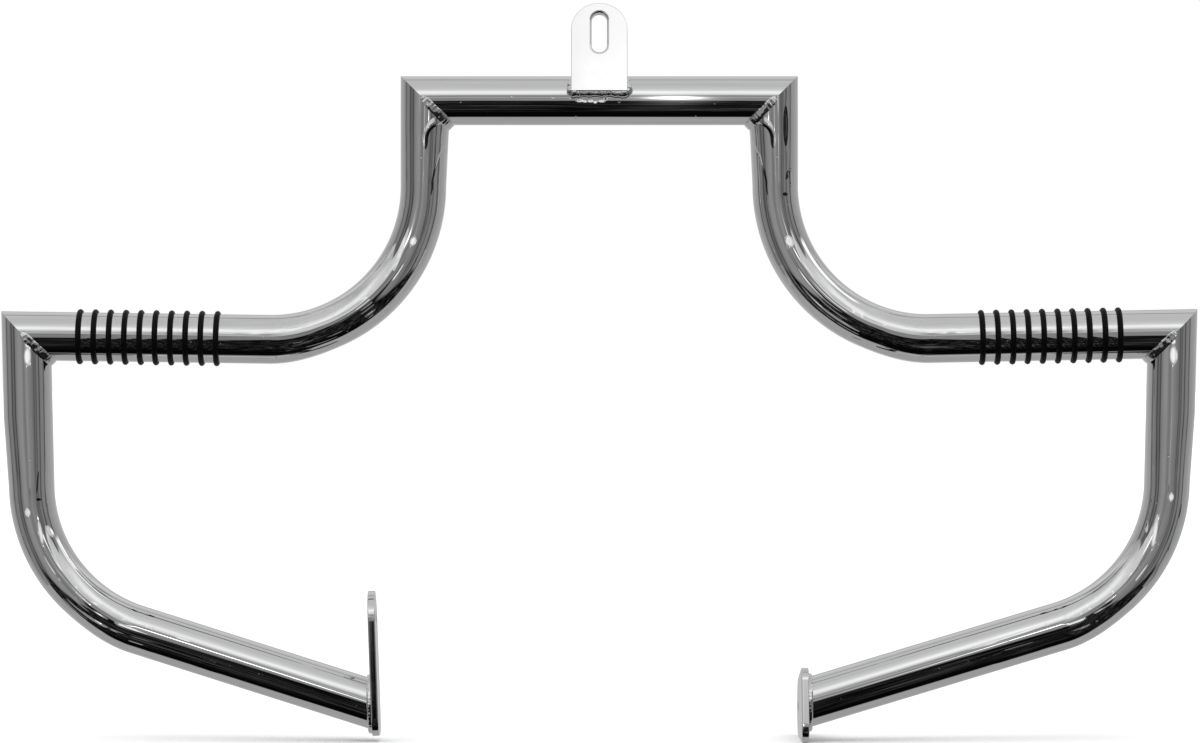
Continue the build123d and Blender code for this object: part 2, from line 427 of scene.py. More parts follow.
    path = tree.nodes.new("ShaderNodeLightPath")
    level = mixNode(tree, path.outputs["Is Diffuse Ray"], room, studio["fill"])
    level = mixNode(tree, path.outputs["Is Camera Ray"], level, studio["backdrop"])
    background = tree.nodes.new("ShaderNodeBackground")
    tree.links.new(level, background.inputs["Color"])
    output = tree.nodes.new("ShaderNodeOutputWorld")
    tree.links.new(background.outputs["Background"], output.inputs["Surface"])


# polish: faint haze and ripple that chrome plate keeps
polish = {
    "haze": (60.0, 4.0, 0.6),  # scale, detail and roughness of each noise
    "ripple": (34.0, 1.0, 0.4),
    "grain": (900.0, 2.0, 0.6),
    "hazeEdge": (0.42, 0.72),
    "grainShare": 0.02,  # of the ripple's height
    "bright": (0.885, 0.888, 0.893, 1),
    "dull": (0.845, 0.848, 0.855, 1),
    "white": (1, 1, 1, 1),
}


def buildPolishGroup():
    group = bpy.data.node_groups.new("polish", "ShaderNodeTree")
    for name in ("Clean", "Hazed"):
        group.interface.new_socket(name, in_out="INPUT", socket_type="NodeSocketFloat")
    group.interface.new_socket("Vector", in_out="INPUT", socket_type="NodeSocketVector")
    group.interface.new_socket("Roughness", in_out="OUTPUT", socket_type="NodeSocketFloat")
    group.interface.new_socket("Tint", in_out="OUTPUT", socket_type="NodeSocketColor")
    group.interface.new_socket("Height", in_out="OUTPUT", socket_type="NodeSocketFloat")
    inputs = group.nodes.new("NodeGroupInput").outputs
    outputs = group.nodes.new("NodeGroupOutput").inputs
    haze = noiseNode(group, inputs["Vector"], *polish["haze"])
    share = stepNode(group, haze, *polish["hazeEdge"])
    group.links.new(mixNode(group, share, inputs["Clean"], inputs["Hazed"]), outputs["Roughness"])
    tint = mixNode(group, haze, polish["bright"], polish["dull"], "RGBA")
    group.links.new(tint, outputs["Tint"])
    ripple = noiseNode(group, inputs["Vector"], *polish["ripple"])
    grain = noiseNode(group, inputs["Vector"], *polish["grain"])
    height = mathNode(group, "MULTIPLY_ADD", grain, polish["grainShare"], ripple)
    group.links.new(height, outputs["Height"])


# draw lines run the length of a tube, deeper where it was bent
drawn = {
    "polish": (1, 1, 0.12),  # haze and ripple stretched along the tube
    "scale": (420, 420, 7),
    "depth": 0.000012,
    "bentScale": (360, 360, 20),
    "bentDepth": 0.000080,
    "detail": 2.0,
    "pit": (300.0, 1.0),  # scale and detail
    "pitEdge": (0.74, 0.80),
    "pitDepth": 0.00006,
}
# rubbed lines that stay bright in the dark
streaks = {
    "scale": (640, 640, 13),
    "edge": (0.54, 0.66),
    "patch": 52.0,  # scale of the patches that they show in
    "patchEdge": (0.45, 0.58),
    "detail": 1.0,  # of both
    "tilt": 0.50,
    "from": (0.025, 0.065),  # along the tube, from the bend's start
    "to": (0.20, 0.12),
    "inside": (-0.45, -0.25),  # out from the axis, of the radius
    "outside": (0.74, 0.66),
}
# shallow dents that turn the mirror up or down: x, z, turn of the long way, half length, half width, tilt
dents = [
    (-0.3701, -0.2090, 90, 0.0066, 0.0022, 0.36), (-0.3701, -0.2014, 90, 0.0016, 0.0015, 0.36),
    (0.3714, -0.2082, 90, 0.0068, 0.0022, 0.36), (0.3714, -0.1993, 90, 0.0018, 0.0016, 0.36),
    (-0.1204, -0.1346, 69, 0.0036, 0.0019, 0.36), (0.1226, -0.1346, 111, 0.0038, 0.0020, 0.36),
    (-0.3699, -0.3101, 97, 0.0029, 0.0022, 0.36), (0.3700, -0.3000, 86, 0.0027, 0.0018, 0.36),
    (0.1208, -0.0598, 90, 0.0190, 0.0024, -0.50), (0.1217, -0.0915, 80, 0.0045, 0.0013, -0.52),
    (0.1240, -0.0930, 90, 0.0060, 0.0012, -0.52), (0.1205, -0.1040, 0, 0.0024, 0.0016, -0.52),
    (-0.3634, -0.2900, 86, 0.0090, 0.0006, -0.50), (-0.3627, -0.3016, 0, 0.0017, 0.0011, -0.60),
    (-0.0125, -0.0436, 4, 0.0022, 0.0009, 0.50), (-0.0094, -0.0440, -6, 0.0014, 0.0008, 0.50),
    (-0.0056, -0.0438, 3, 0.0020, 0.0009, 0.50), (-0.0026, -0.0445, 8, 0.0013, 0.0009, 0.50),
    (0.0014, -0.0439, -4, 0.0021, 0.0008, 0.50), (0.0040, -0.0426, 10, 0.0013, 0.0008, 0.50),
    (-0.0176, -0.0412, 30, 0.0016, 0.0010, 0.50),
    (-0.1287, -0.1413, 72, 0.0125, 0.0012, 0.27), (-0.1348, -0.1413, 62, 0.0052, 0.0010, 0.24),
    (0.3593, -0.3244, 81, 0.0120, 0.0012, 0.27), (0.3545, -0.3190, 84, 0.0040, 0.0010, 0.24),
    (-0.3613, -0.3244, 100, 0.0092, 0.0012, 0.27), (-0.3557, -0.3218, 115, 0.0045, 0.0014, 0.24),
]
dentEdge = (0.06, 0.90)  # where a dent begins and is full
# edges of the part that the bending die pressed flat: where each starts before the bend, how quickly it
# crosses the tube, how far over it starts and settles (of the radius), half width, tilt, where it fades
# out and the tilt of the pale line along it
creases = [
    {"start": -0.0415, "reach": 0.0034, "from": 0.89, "to": 0.07, "wide": 0.0010, "tilt": -0.70,
     "fade": (-0.036, -0.018), "glint": 0.15},
    {"start": -0.0270, "reach": 0.0160, "from": 0.85, "to": 0.20, "wide": 0.0008, "tilt": -0.60,
     "fade": (-0.004, 0.016), "glint": 0.05},
]
creaseLine = {
    "wander": 0.12,  # of the radius
    "wanderScale": (0, 0, 90),
    "before": -0.02,  # no crease is followed further back than this
    "glintAside": -0.0022,
    "glintWide": 0.0008,
    "uprights": (0.22, 0.17),  # none further out than the two uprights
}
# roughness where clean and where hazed, waviness, and how far the plates and welds are paled towards white;
# on the tab this paling is painted light, a brighter copy of the brackets' chrome
chrome = {
    "tubeChrome": {"clean": 0.012, "hazed": 0.022, "waviness": 0.00005},
    "plateChrome": {"clean": 0.03, "hazed": 0.07, "waviness": 0.00004, "pale": 0.0},
    # the tab's paling of 0.6 is painted light that makes it brighter than the same chrome on the brackets
    "paintedBrightTabChrome": {"clean": 0.03, "hazed": 0.07, "waviness": 0.00006, "pale": 0.6},
    "weldChrome": {"clean": 0.10, "hazed": 0.26, "waviness": 0.00015, "pale": 0.0},
}


def buildChrome(name, drawnOut=False):
    look = chrome[name]
    material, tree, shader = newMaterial(name)
    shader.inputs["Metallic"].default_value = 1.0
    if drawnOut:
        place = vectorNode(tree, "MULTIPLY", attributeNode(tree, "straight", "Vector"), drawn["polish"])
    else:
        place = objectPlace(tree)
    finish = tree.nodes.new("ShaderNodeGroup")
    finish.node_tree = bpy.data.node_groups["polish"]
    finish.inputs["Clean"].default_value = look["clean"]
    finish.inputs["Hazed"].default_value = look["hazed"]
    tree.links.new(place, finish.inputs["Vector"])
    tree.links.new(finish.outputs["Tint"], shader.inputs["Base Color"])
    tree.links.new(finish.outputs["Roughness"], shader.inputs["Roughness"])
    height = mathNode(tree, "MULTIPLY", finish.outputs["Height"], look["waviness"])
    return material, tree, shader, height


def buildPlateChrome(name):
    material, tree, shader, height = buildChrome(name)
    tint = shader.inputs["Base Color"].links[0].from_socket
    # paled towards white; on the tab this is painted light
    tint = mixNode(tree, chrome[name]["pale"], tint, polish["white"], "RGBA")
    tree.links.new(tint, shader.inputs["Base Color"])
    tree.links.new(bumpNode(tree, height, 1.0), shader.inputs["Normal"])
    return material


def dentLift(tree, x, y, z):  # on the front of the tubes
    total = 0.0
    for dentX, dentZ, turn, long, wide, tilt in dents:
        run, rise = cos(radians(turn)), sin(radians(turn))
        right = mathNode(tree, "SUBTRACT", x, dentX)
        up = mathNode(tree, "SUBTRACT", z, dentZ)
        along = mathNode(tree, "MULTIPLY_ADD", up, rise, mathNode(tree, "MULTIPLY", right, run))
        aside = mathNode(tree, "MULTIPLY_ADD", up, run, mathNode(tree, "MULTIPLY", right, -rise))
        dent = blobNode(tree, along, aside, (0, 0), (long, wide))
        total = mathNode(tree, "MULTIPLY_ADD", stepNode(tree, dent, *dentEdge), tilt, total)
    return mathNode(tree, "MULTIPLY", total, mathNode(tree, "LESS_THAN", y, crossCentre.y))


def creaseLift(tree, x, straight):
    out, _, along = splitNode(tree, straight)
    wander = stretchedNoise(tree, straight, creaseLine["wanderScale"])
    out = mathNode(tree, "SUBTRACT", mathNode(tree, "DIVIDE", out, tubeRadius), creaseLine["wander"] / 2)
    out = mathNode(tree, "MULTIPLY_ADD", wander, creaseLine["wander"], out)
    upright = stepNode(tree, mathNode(tree, "ABSOLUTE", x), *creaseLine["uprights"])
    total = 0.0
    for crease in creases:
        past = mathNode(tree, "SUBTRACT", along, crease["start"])
        past = mathNode(tree, "MAXIMUM", past, creaseLine["before"])
        fall = mathNode(tree, "EXPONENT", mathNode(tree, "DIVIDE", past, -crease["reach"]))
        across = crease["from"] - crease["to"]
        edge = mathNode(tree, "MULTIPLY_ADD", fall, across, crease["to"])
        steep = mathNode(tree, "MULTIPLY", fall, across * tubeRadius / crease["reach"])
        steep = mathNode(tree, "SQRT", mathNode(tree, "MULTIPLY_ADD", steep, steep, 1.0))
        aside = mathNode(tree, "DIVIDE", mathNode(tree, "SUBTRACT", out, edge), steep)
        aside = mathNode(tree, "MULTIPLY", aside, tubeRadius)
        line = mathNode(tree, "MULTIPLY", spotNode(tree, aside, 0.0, crease["wide"]), crease["tilt"])
        glint = spotNode(tree, aside, creaseLine["glintAside"], creaseLine["glintWide"])
        line = mathNode(tree, "MULTIPLY_ADD", glint, crease["glint"], line)
        fade = stepNode(tree, along, *reversed(crease["fade"]))
        total = mathNode(tree, "MULTIPLY_ADD", line, fade, total)
    return mathNode(tree, "MULTIPLY", total, upright)


def streakLift(tree, place, straight):
    out, _, along = splitNode(tree, straight)
    out = mathNode(tree, "DIVIDE", out, tubeRadius)
    lines = stretchedNoise(tree, straight, streaks["scale"], streaks["detail"])
    patches = noiseNode(tree, place, streaks["patch"], streaks["detail"])
    share = streaks["tilt"]
    for value, edge in ((lines, "edge"), (patches, "patchEdge"), (along, "from"), (along, "to"),
                        (out, "inside"), (out, "outside")):
        share = mathNode(tree, "MULTIPLY", share, stepNode(tree, value, *streaks[edge]))
    return share


def tiltUp(tree, normal, lift):
    upward = tree.nodes.new("ShaderNodeCombineXYZ")
    tree.links.new(lift, upward.inputs["Z"])
    tilted = vectorNode(tree, "ADD", normal, upward.outputs["Vector"])
    return vectorNode(tree, "NORMALIZE", tilted)


def buildTubeChrome():
    material, tree, shader, height = buildChrome("tubeChrome", drawnOut=True)
    straight = attributeNode(tree, "straight", "Vector")
    lines = stretchedNoise(tree, straight, drawn["scale"], drawn["detail"])
    height = mathNode(tree, "MULTIPLY_ADD", lines, drawn["depth"], height)
    wrinkles = stretchedNoise(tree, straight, drawn["bentScale"], drawn["detail"])
    wrinkles = mathNode(tree, "MULTIPLY", wrinkles, attributeNode(tree, "bent", "Fac"))
    height = mathNode(tree, "MULTIPLY_ADD", wrinkles, drawn["bentDepth"], height)
    pits = stepNode(tree, noiseNode(tree, straight, *drawn["pit"]), *drawn["pitEdge"])
    height = mathNode(tree, "MULTIPLY_ADD", pits, -drawn["pitDepth"], height)
    place = objectPlace(tree)
    x, y, z = splitNode(tree, place)
    lift = mathNode(tree, "ADD", dentLift(tree, x, y, z), creaseLift(tree, x, straight))
    lift = mathNode(tree, "ADD", lift, streakLift(tree, place, straight))
    tree.links.new(tiltUp(tree, bumpNode(tree, height, 1.0), lift), shader.inputs["Normal"])
    return material


rubberLook = {
    "bloom": (240.0, 3.0, 0.6),  # scale, detail and roughness of each noise
    "grain": (2600.0, 2.0, 0.6),
    "grainDepth": 0.00004,
    "dark": (0.0006, 0.0006, 0.0006, 1),
    "bloomed": (0.0022, 0.0022, 0.0023, 1),
    "roughness": (0.36, 0.54),
    "specular": 0.12,
}


def buildRubber():
    material, tree, shader = newMaterial("ringRubber")
    place = objectPlace(tree)
    bloom = noiseNode(tree, place, *rubberLook["bloom"])
    grain = noiseNode(tree, place, *rubberLook["grain"])
    colour = mixNode(tree, bloom, rubberLook["dark"], rubberLook["bloomed"], "RGBA")
    tree.links.new(colour, shader.inputs["Base Color"])
    tree.links.new(mixNode(tree, bloom, *rubberLook["roughness"]), shader.inputs["Roughness"])
    shader.inputs["Specular IOR Level"].default_value = rubberLook["specular"]
    tree.links.new(bumpNode(tree, grain, rubberLook["grainDepth"]), shader.inputs["Normal"])
    return material


buildPolishGroup()
tubeChrome = buildTubeChrome()
plateChrome = buildPlateChrome("plateChrome")
# the tab's chrome is paled towards white: painted light
paintedBrightTabChrome = buildPlateChrome("paintedBrightTabChrome")
weldChrome = buildPlateChrome("weldChrome")
rubber = buildRubber()
print("materials done")

# tubes
tube = {
    "bendRadius": 0.0995,
    "bendFlattening": 0.0022,
    "flatteningEntry": 0.046,
    "flatteningExit": 0.042,  # fades out along the last of the bend
    "bendSteps": 80,
    "easeSteps": 14,
    "straightSteps": 12,
    "clearOfMitre": 0.022,  # first plain ring beyond a joint
    "endPick": 0.0005,  # a ring this near to a joint is the tube's end
    "smoothAngle": 35,
    "crossbarAlong": -1.0,  # keeps the marks near the bends off the crossbar
}
ring = {
    "count": 10,
    "section": 0.0037,
    "sink": 0.0016,
    "clearance": 0.00005,
    "roundSteps": 96,
    "sectionSteps": 28,
    "seatSteps": (-1.02, -1.0, -0.92, -0.72, -0.38, 0.0, 0.38, 0.72, 0.92, 1.0, 1.02),  # of half the seat
    "flash": 0.00006,  # parting line that the mould leaves
    "tilt": 0.9,  # degrees, how far a ring may sit askew
    "tiltStep": (1.7, 3.1, 0.4),  # through the noise, for each ring, for each side and at the start
    "seed": 5,  # without one the tilts change with the clock
    "smoothAngle": 60,
}


def extrudeTo(step):
    bpy.ops.mesh.extrude_region_move(TRANSFORM_OT_translate={"value": step})


def startTube(start, direction):  # one open ring at the joint
    deselectAll()
    bpy.ops.mesh.primitive_circle_add(vertices=bar["segments"], radius=tubeRadius, location=start,
                                      rotation=turnedTo(direction))
    applyPlace()
    editMode(True)
    bpy.ops.mesh.select_all(action="SELECT")


def slideOnto(piece, end, along, normal):  # mitres the ring at one end
    for vert in piece.data.vertices:
        offset = vert.co - end
        if abs(offset.dot(along)) < tube["endPick"] and offset.length < 2 * tubeRadius:
            vert.co -= along * (offset.dot(normal) / along.dot(normal))


def capEnds(piece):
    editMode(True)
    bpy.ops.mesh.select_all(action="DESELECT")
    bpy.ops.mesh.select_mode(type="EDGE")
    bpy.ops.mesh.select_non_manifold()
    bpy.ops.mesh.fill_holes(sides=0)
    closeMesh(tube["smoothAngle"])


def keepPlaces(piece, placeOf):  # where each point lay before bending, and how bent it is
    places, bends = [], []
    for vert in piece.data.vertices:
        place, bent = placeOf(vert.co)
        places.extend(place)
        bends.append(bent)
    piece.data.attributes.new("straight", "FLOAT_VECTOR", "POINT").data.foreach_set("vector", places)
    piece.data.attributes.new("bent", "FLOAT", "POINT").data.foreach_set("value", bends)


def grooveDepth(offset):  # how far a ring's seat cuts in, at this distance from its middle
    seat = ring["section"] / 2 + ring["clearance"]
    if abs(offset) >= seat:
        return 0.0
    return max(0.0, sqrt(seat * seat - offset * offset) - (ring["section"] / 2 - ring["sink"]))


def grooveStations(places):
    seat = ring["section"] / 2 + ring["clearance"]
    lip = sqrt(seat ** 2 - (ring["section"] / 2 - ring["sink"]) ** 2)
    return [place + share * lip for place in places for share in ring["seatSteps"]]


def bentTube(name, start, corner, end, startNormal, endNormal, grooves=()):
    first = (corner - start).normalized()
    second = (end - corner).normalized()
    angle = first.angle(second)
    inward = (second - first * first.dot(second)).normalized()
    radius = tube["bendRadius"]
    bendStart = corner - first * radius * tan(angle / 2)
    bendEnd = corner + second * radius * tan(angle / 2)
    centre = bendStart + inward * radius
    outwardEnd = (bendEnd - centre).normalized()
    firstRun = (bendStart - start).length
    lastRun = (end - bendEnd).length

    startTube(start, first)
    entry, steps = tube["flatteningEntry"], tube["easeSteps"]
    eased = firstRun - entry
    stations = [max(eased, tube["clearOfMitre"])]
    stations += [eased + entry * (step + 1) / steps for step in range(steps)]
    done = 0.0
    for station in stations:
        if station > done:
            extrudeTo(first * (station - done))
            done = station
    axis = -first.cross(second).normalized()
    bpy.ops.mesh.spin(steps=tube["bendSteps"], angle=angle, center=centre, axis=axis)
    stations = sorted(lastRun - place for place in grooveStations(grooves))
    stations += [lastRun - tube["clearOfMitre"], lastRun]
    done = 0.0
    for station in stations:
        extrudeTo(second * (station - done))
        done = station
    editMode(False)
    piece = nameIt(name)

    # axis point, outward direction, way along from the bend's start and share of the flattening
    def locate(co):
        before = (co - bendStart).dot(first)
        after = (co - bendEnd).dot(second)
        if before <= 0 and abs((co - bendStart).dot(inward)) < 2 * tubeRadius:
            share = max(0.0, 1 + before / entry)
            return bendStart + first * before, -inward, before, share
        if after >= -mergeGap and abs((co - bendEnd).dot(outwardEnd)) < 2 * tubeRadius:
            return bendEnd + second * after, outwardEnd, radius * angle + after, 0.0
        outward = co - centre
        outward.y = 0
        outward.normalize()
        turned = atan2(outward.dot(first), -outward.dot(inward))
        share = ease((angle - turned) * radius / tube["flatteningExit"])
        return centre + outward * radius, outward, radius * turned, share

    # flatten the outside of the bend and sink the ring seats
    squeeze = tube["bendFlattening"] / 2
    whole = radius * angle + lastRun

    def shaped(co):
        axisPoint, outward, along, share = locate(co)
        spoke = co - axisPoint
        depth = max((grooveDepth(whole - along - place) for place in grooves), default=0.0)
        thin = 1 - depth / tubeRadius
        out = spoke.dot(outward) * (1 - share * squeeze / tubeRadius) - share * squeeze
        across = spoke.y * (1 + share * squeeze / tubeRadius)
        return axisPoint + outward * out * thin + sideways * across * thin

    def unrolled(co):
        axisPoint, outward, along, share = locate(co)
        spoke = co - axisPoint
        return (spoke.dot(outward), spoke.y, along), share

    movePoints(piece, shaped)
    slideOnto(piece, start, first, startNormal)
    slideOnto(piece, end, second, endNormal)
    capEnds(piece)
    keepPlaces(piece, unrolled)
    return piece


def straightTube(name, start, end, startNormal, endNormal):
    along = (end - start).normalized()
    startTube(start, along)
    inner = (end - start).length - 2 * tube["clearOfMitre"]
    steps = tube["straightSteps"]
    for step in [tube["clearOfMitre"]] + [inner / steps] * steps + [tube["clearOfMitre"]]:
        extrudeTo(along * step)
    editMode(False)
    piece = nameIt(name)
    slideOnto(piece, start, along, startNormal)
    slideOnto(piece, end, along, endNormal)
    capEnds(piece)

    def unrolled(co):
        way = (co - end).dot(along) + tube["crossbarAlong"]
        return (start.z - co.z, co.y - start.y, way), 0.0

    keepPlaces(piece, unrolled)
    return piece


def ringPlaces(side):  # along the foot rest, from the outer corner
    _, shoulder, outer, _, _ = cornersOf(side)
    along = (shoulder - outer).normalized()
    places = []
    for number in range(1, ring["count"] + 1):
        low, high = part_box(f"{side}_ring_{number}")
        places.append(((low + high) / 2 - outer).dot(along))
    return places


def makeTubes():
    left, right = cornersOf("left"), cornersOf("right")
    piece = straightTube("crossbarTube", left[0], right[0],
                         mitreNormal(right[0], left[0], left[1]), mitreNormal(left[0], right[0], right[1]))
    finishPiece(piece, tubeChrome, "crossbar")
    for side in sides:
        upper, shoulder, outer, lower, armEnd = cornersOf(side)
        upperCut = mitreNormal(crossCentre, upper, shoulder)
        outerCut = mitreNormal(shoulder, outer, lower)
        piece = bentTube(f"{side}ShoulderTube", upper, shoulder, outer, upperCut, outerCut, ringPlaces(side))
        finishPiece(piece, tubeChrome, f"{side}_shoulder_tube")
        piece = bentTube(f"{side}LowerTube", outer, lower, armEnd, outerCut, bracketNormal(side))
        finishPiece(piece, tubeChrome, f"{side}_lower_tube")


makeTubes()
print("tubes done")


def makeRings():
    seat = tubeRadius - ring["sink"] + ring["section"] / 2
    deselectAll()
    bpy.ops.mesh.primitive_torus_add(major_radius=seat, minor_radius=ring["section"] / 2,
                                     major_segments=ring["roundSteps"], minor_segments=ring["sectionSteps"])
    pattern = nameIt("ringPattern")
    editMode(True)
    rim = seat + ring["section"] / 2
    selectEdges(pattern, lambda a, b: min(hypot(a.x, a.y), hypot(b.x, b.y)) > rim - hair)
    swell = (rim + ring["flash"]) / rim
    bpy.ops.transform.resize(value=(swell, swell, 1))
    closeMesh(ring["smoothAngle"])
    noise.seed_set(ring["seed"])
    step = ring["tiltStep"]
    for side in sides:
        _, shoulder, outer, _, _ = cornersOf(side)
        along = (shoulder - outer).normalized()
        upright = along.to_track_quat("Z", "Y").to_matrix().to_4x4()
        for number in range(1, ring["count"] + 1):
            low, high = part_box(f"{side}_ring_{number}")
            piece = pattern.copy()
            piece.data = pattern.data.copy()
            piece.name = f"{side}Ring{number}"
            bpy.context.scene.collection.objects.link(piece)
            lean = noise.noise_vector(Vector((number * step[0], sides[side] * step[1], step[2])))
            lean *= radians(ring["tilt"])
            askew = Matrix.Rotation(lean.y, 4, "Y") @ Matrix.Rotation(lean.z, 4, "Z")
            piece.data.transform(Matrix.Translation((low + high) / 2) @ askew @ upright)
            finishPiece(piece, rubber, f"{side}_ring_{number}")
    bpy.data.objects.remove(pattern)


makeRings()
print("rings done")

# what the tab and the brackets share
plate = {
    "edgeSteps": 4,
    "edgeAngle": 50,
    "smoothAngle": 40,
    "weight": 100,
    "pick": 0.0005,  # a point this near to a place is picked with it
}
# tab with its slot
tab = {
    "width": 0.0365,
    "height": 0.0611,
    "thickness": 0.0048,
    "lean": 18.0,
    "foot": 0.001,  # how far it reaches below where it touches the crossbar
    "clearance": 0.00005,
    "slotWidth": 0.010,
    "slotLength": 0.027,
    "slotHeight": 0.0408,
    "slotEdge": 0.002,
    "edge": 0.0005,
    "topSteps": 40,
    "slotSteps": 20,
    "slotEdgeSteps": 10,
}


def tabFrame():
    lean = radians(tab["lean"])
    normal = Vector((0, -cos(lean), sin(lean)))
    return frameOf(crossCentre + normal * (tubeRadius + tab["clearance"]), Vector((1, 0, 0)), normal)


def addBlock(low, high):  # a cube by its two corners
    deselectAll()
    middle = (low + high) / 2
    bpy.ops.mesh.primitive_cube_add(size=1, location=middle, scale=high - low)
    applyPlace()
    return bpy.context.object


def roundEdges(piece, wanted, radius, steps):
    editMode(True)
    selectEdges(piece, wanted)
    bpy.ops.mesh.bevel(offset=radius, segments=steps, affect="EDGES")
    editMode(False)


def cutOut(piece, cutter):
    applyModifier(piece, "BOOLEAN", operation="DIFFERENCE", object=cutter, solver="EXACT")
    bpy.data.objects.remove(cutter)


def finishPlate(piece, name, edge):
    piece.name = name
    piece.data.name = name
    applyModifier(piece, "BEVEL", width=edge, segments=plate["edgeSteps"], limit_method="ANGLE",
                  angle_limit=radians(plate["edgeAngle"]))
    editMode(True)
    closeMesh(plate["smoothAngle"])
    applyModifier(piece, "WEIGHTED_NORMAL", keep_sharp=True, weight=plate["weight"])


def throughPlate(a, b):  # an edge that runs through the plate's thickness
    return abs(a.z - b.z) > plate["pick"]


def makeTab():
    foot = -tab["foot"]
    top = tab["height"] - tab["foot"]
    half = tab["width"] / 2
    thick = tab["thickness"]
    piece = addBlock(Vector((-half, foot, 0)), Vector((half, top, thick)))
    roundEdges(piece, lambda a, b: throughPlate(a, b) and a.y > top - plate["pick"], half - hair,
               tab["topSteps"])
    slot = Vector((0, tab["slotHeight"] - tab["foot"], 0))
    slotHalf = Vector((tab["slotWidth"] / 2, tab["slotLength"] / 2, 2 * thick))
    cutter = addBlock(slot - slotHalf, slot + slotHalf)
    roundEdges(cutter, throughPlate, slotHalf.x - hair, tab["slotSteps"])
    cutOut(piece, cutter)

    def onSlotRim(co):  # on the front face
        inside = abs(co.x) < slotHalf.x + plate["pick"] and abs(co.y - slot.y) < slotHalf.y + plate["pick"]
        return inside and co.z > thick - plate["pick"]

    roundEdges(piece, lambda a, b: onSlotRim(a) and onSlotRim(b), tab["slotEdge"], tab["slotEdgeSteps"])
    finishPlate(piece, "slottedTab", tab["edge"])
    moveInto(piece, tabFrame())
    finishPiece(piece, paintedBrightTabChrome, "top_tab")


# lower brackets, each the hull of three round corners
bracket = {
    "thickness": 0.0048,
    "hole": 0.0105,
    "edge": 0.0007,
    "steps": 96,
    "flatAngle": 0.5,  # faces of the hull closer to level than this are one
}
leftBracket = {"width": 0.0381, "rise": 0.0545, "foot": 0.0204, "corner": 0.012}
rightBracket = {"above": 0.0229, "below": 0.0246, "front": 0.0203, "lean": 15.0, "corner": 0.010,
                "back": 0.045, "endRadius": 0.019}


def addDisc(place, radius, low, high):
    bpy.ops.mesh.primitive_cylinder_add(vertices=bracket["steps"], radius=radius, depth=high - low,
                                        location=(place[0], place[1], (low + high) / 2))


def makeBracket(side, corners, hole):
    thick = bracket["thickness"]
    deselectAll()
    for place, radius in corners:
        addDisc(place, radius, -thick, 0)
        if bpy.context.mode == "OBJECT":
            applyPlace()
            piece = bpy.context.object
            editMode(True)
    bpy.ops.mesh.select_all(action="SELECT")
    bpy.ops.mesh.convex_hull()
    bpy.ops.mesh.select_all(action="SELECT")
    bpy.ops.mesh.dissolve_limited(angle_limit=radians(bracket["flatAngle"]))
    editMode(False)
    deselectAll()
    addDisc(hole, bracket["hole"] / 2, -2 * thick, thick)
    cutOut(piece, bpy.context.object)
    finishPlate(piece, f"{side}BracketPlate", bracket["edge"])
    armEnd = cornersOf(side)[-1]
    moveInto(piece, frameOf(armEnd, Vector((0, sides[side], 0)), bracketNormal(side)))
    finishPiece(piece, plateChrome, f"{side}_bracket")


def makeBrackets():
    upper = leftBracket["width"] / 2
    corner = leftBracket["corner"]
    hole = (0, leftBracket["rise"])
    low = corner - leftBracket["foot"]
    aside = upper - corner
    makeBracket("left", [(hole, upper), ((-aside, low), corner), ((aside, low), corner)], hole)
    corner = rightBracket["corner"]
    lean = radians(rightBracket["lean"])
    front = corner / cos(lean) - rightBracket["front"]
    top = rightBracket["above"] - corner
    low = corner - rightBracket["below"]
    hole = (rightBracket["back"], rightBracket["endRadius"] - rightBracket["below"])
    upperFront = (front + top * tan(lean), top)
    lowerFront = (front + low * tan(lean), low)
    back = (hole, rightBracket["endRadius"])
    makeBracket("right", [(upperFront, corner), (lowerFront, corner), back], hole)


makeTab()
makeBrackets()
print("plates done")

# weld beads
bead = {
    "steps": 300,
    "sides": 40,
    "square": 3.4,  # 2 is an oval section, more is boxier
    "lumpScale": 250.0,
    "fineScale": 2.3,  # smaller lumps on the lumps
    "fineShare": 0.5,
    "ripplePitch": 0.0018,
    "ripple": 0.12,
    "rippleWander": 2.0,
    "wanderScale": 180.0,
    "lumpAcross": 0.6,  # how fast the lumps change across a bead, of its width
    "lumpSideways": 0.5,  # how far they move its edges, of their height
    "smoothAngle": 60,
}
# angles in degrees round the joint from its inside
mitreBead = {
    "width": 0.0034,
    "frontWidth": 0.0026,
    "frontFrom": 40.0,
    "frontTo": 90.0,
    "proud": 0.0004,
    "fill": 0.80,
    "innerFill": 0.58,
    "innerTo": 35.0,
    "lump": 0.0003,
    "frontLump": 0.0005,
    "frontLumpTo": 70.0,
    "fadeFrom": 84.0,
    "fadeTo": 108.0,
    "faded": {"width": 0.0003, "height": 0.0002, "sink": 0.0009},
}
bracketBead = {"width": 0.0027, "height": 0.0026, "sink": 0.0002, "lump": 0.0003}
tabBead = {
    "radius": 0.0028,
    "corner": 0.0035,
    "cornerReach": 0.006,
    "tip": 0.0017,
    "tipBlunt": 24,  # higher is blunter
    "climb": 0.010,
    "turn": 0.0025,
    "depth": 0.0010,
    "lump": 0.0008,
    "lumpAcross": 0.001,
}


def lumpiness(place, way):  # from about -1 to 1, varied along and across a bead
    coarse = place * bead["lumpScale"]
    lump = noise.noise(coarse) + bead["fineShare"] * noise.noise(coarse * bead["fineScale"])
    wander = bead["rippleWander"] * noise.noise(place * bead["wanderScale"])
    ripple = sin(2 * pi * way / bead["ripplePitch"] + wander)
    return lump + bead["ripple"] * ripple


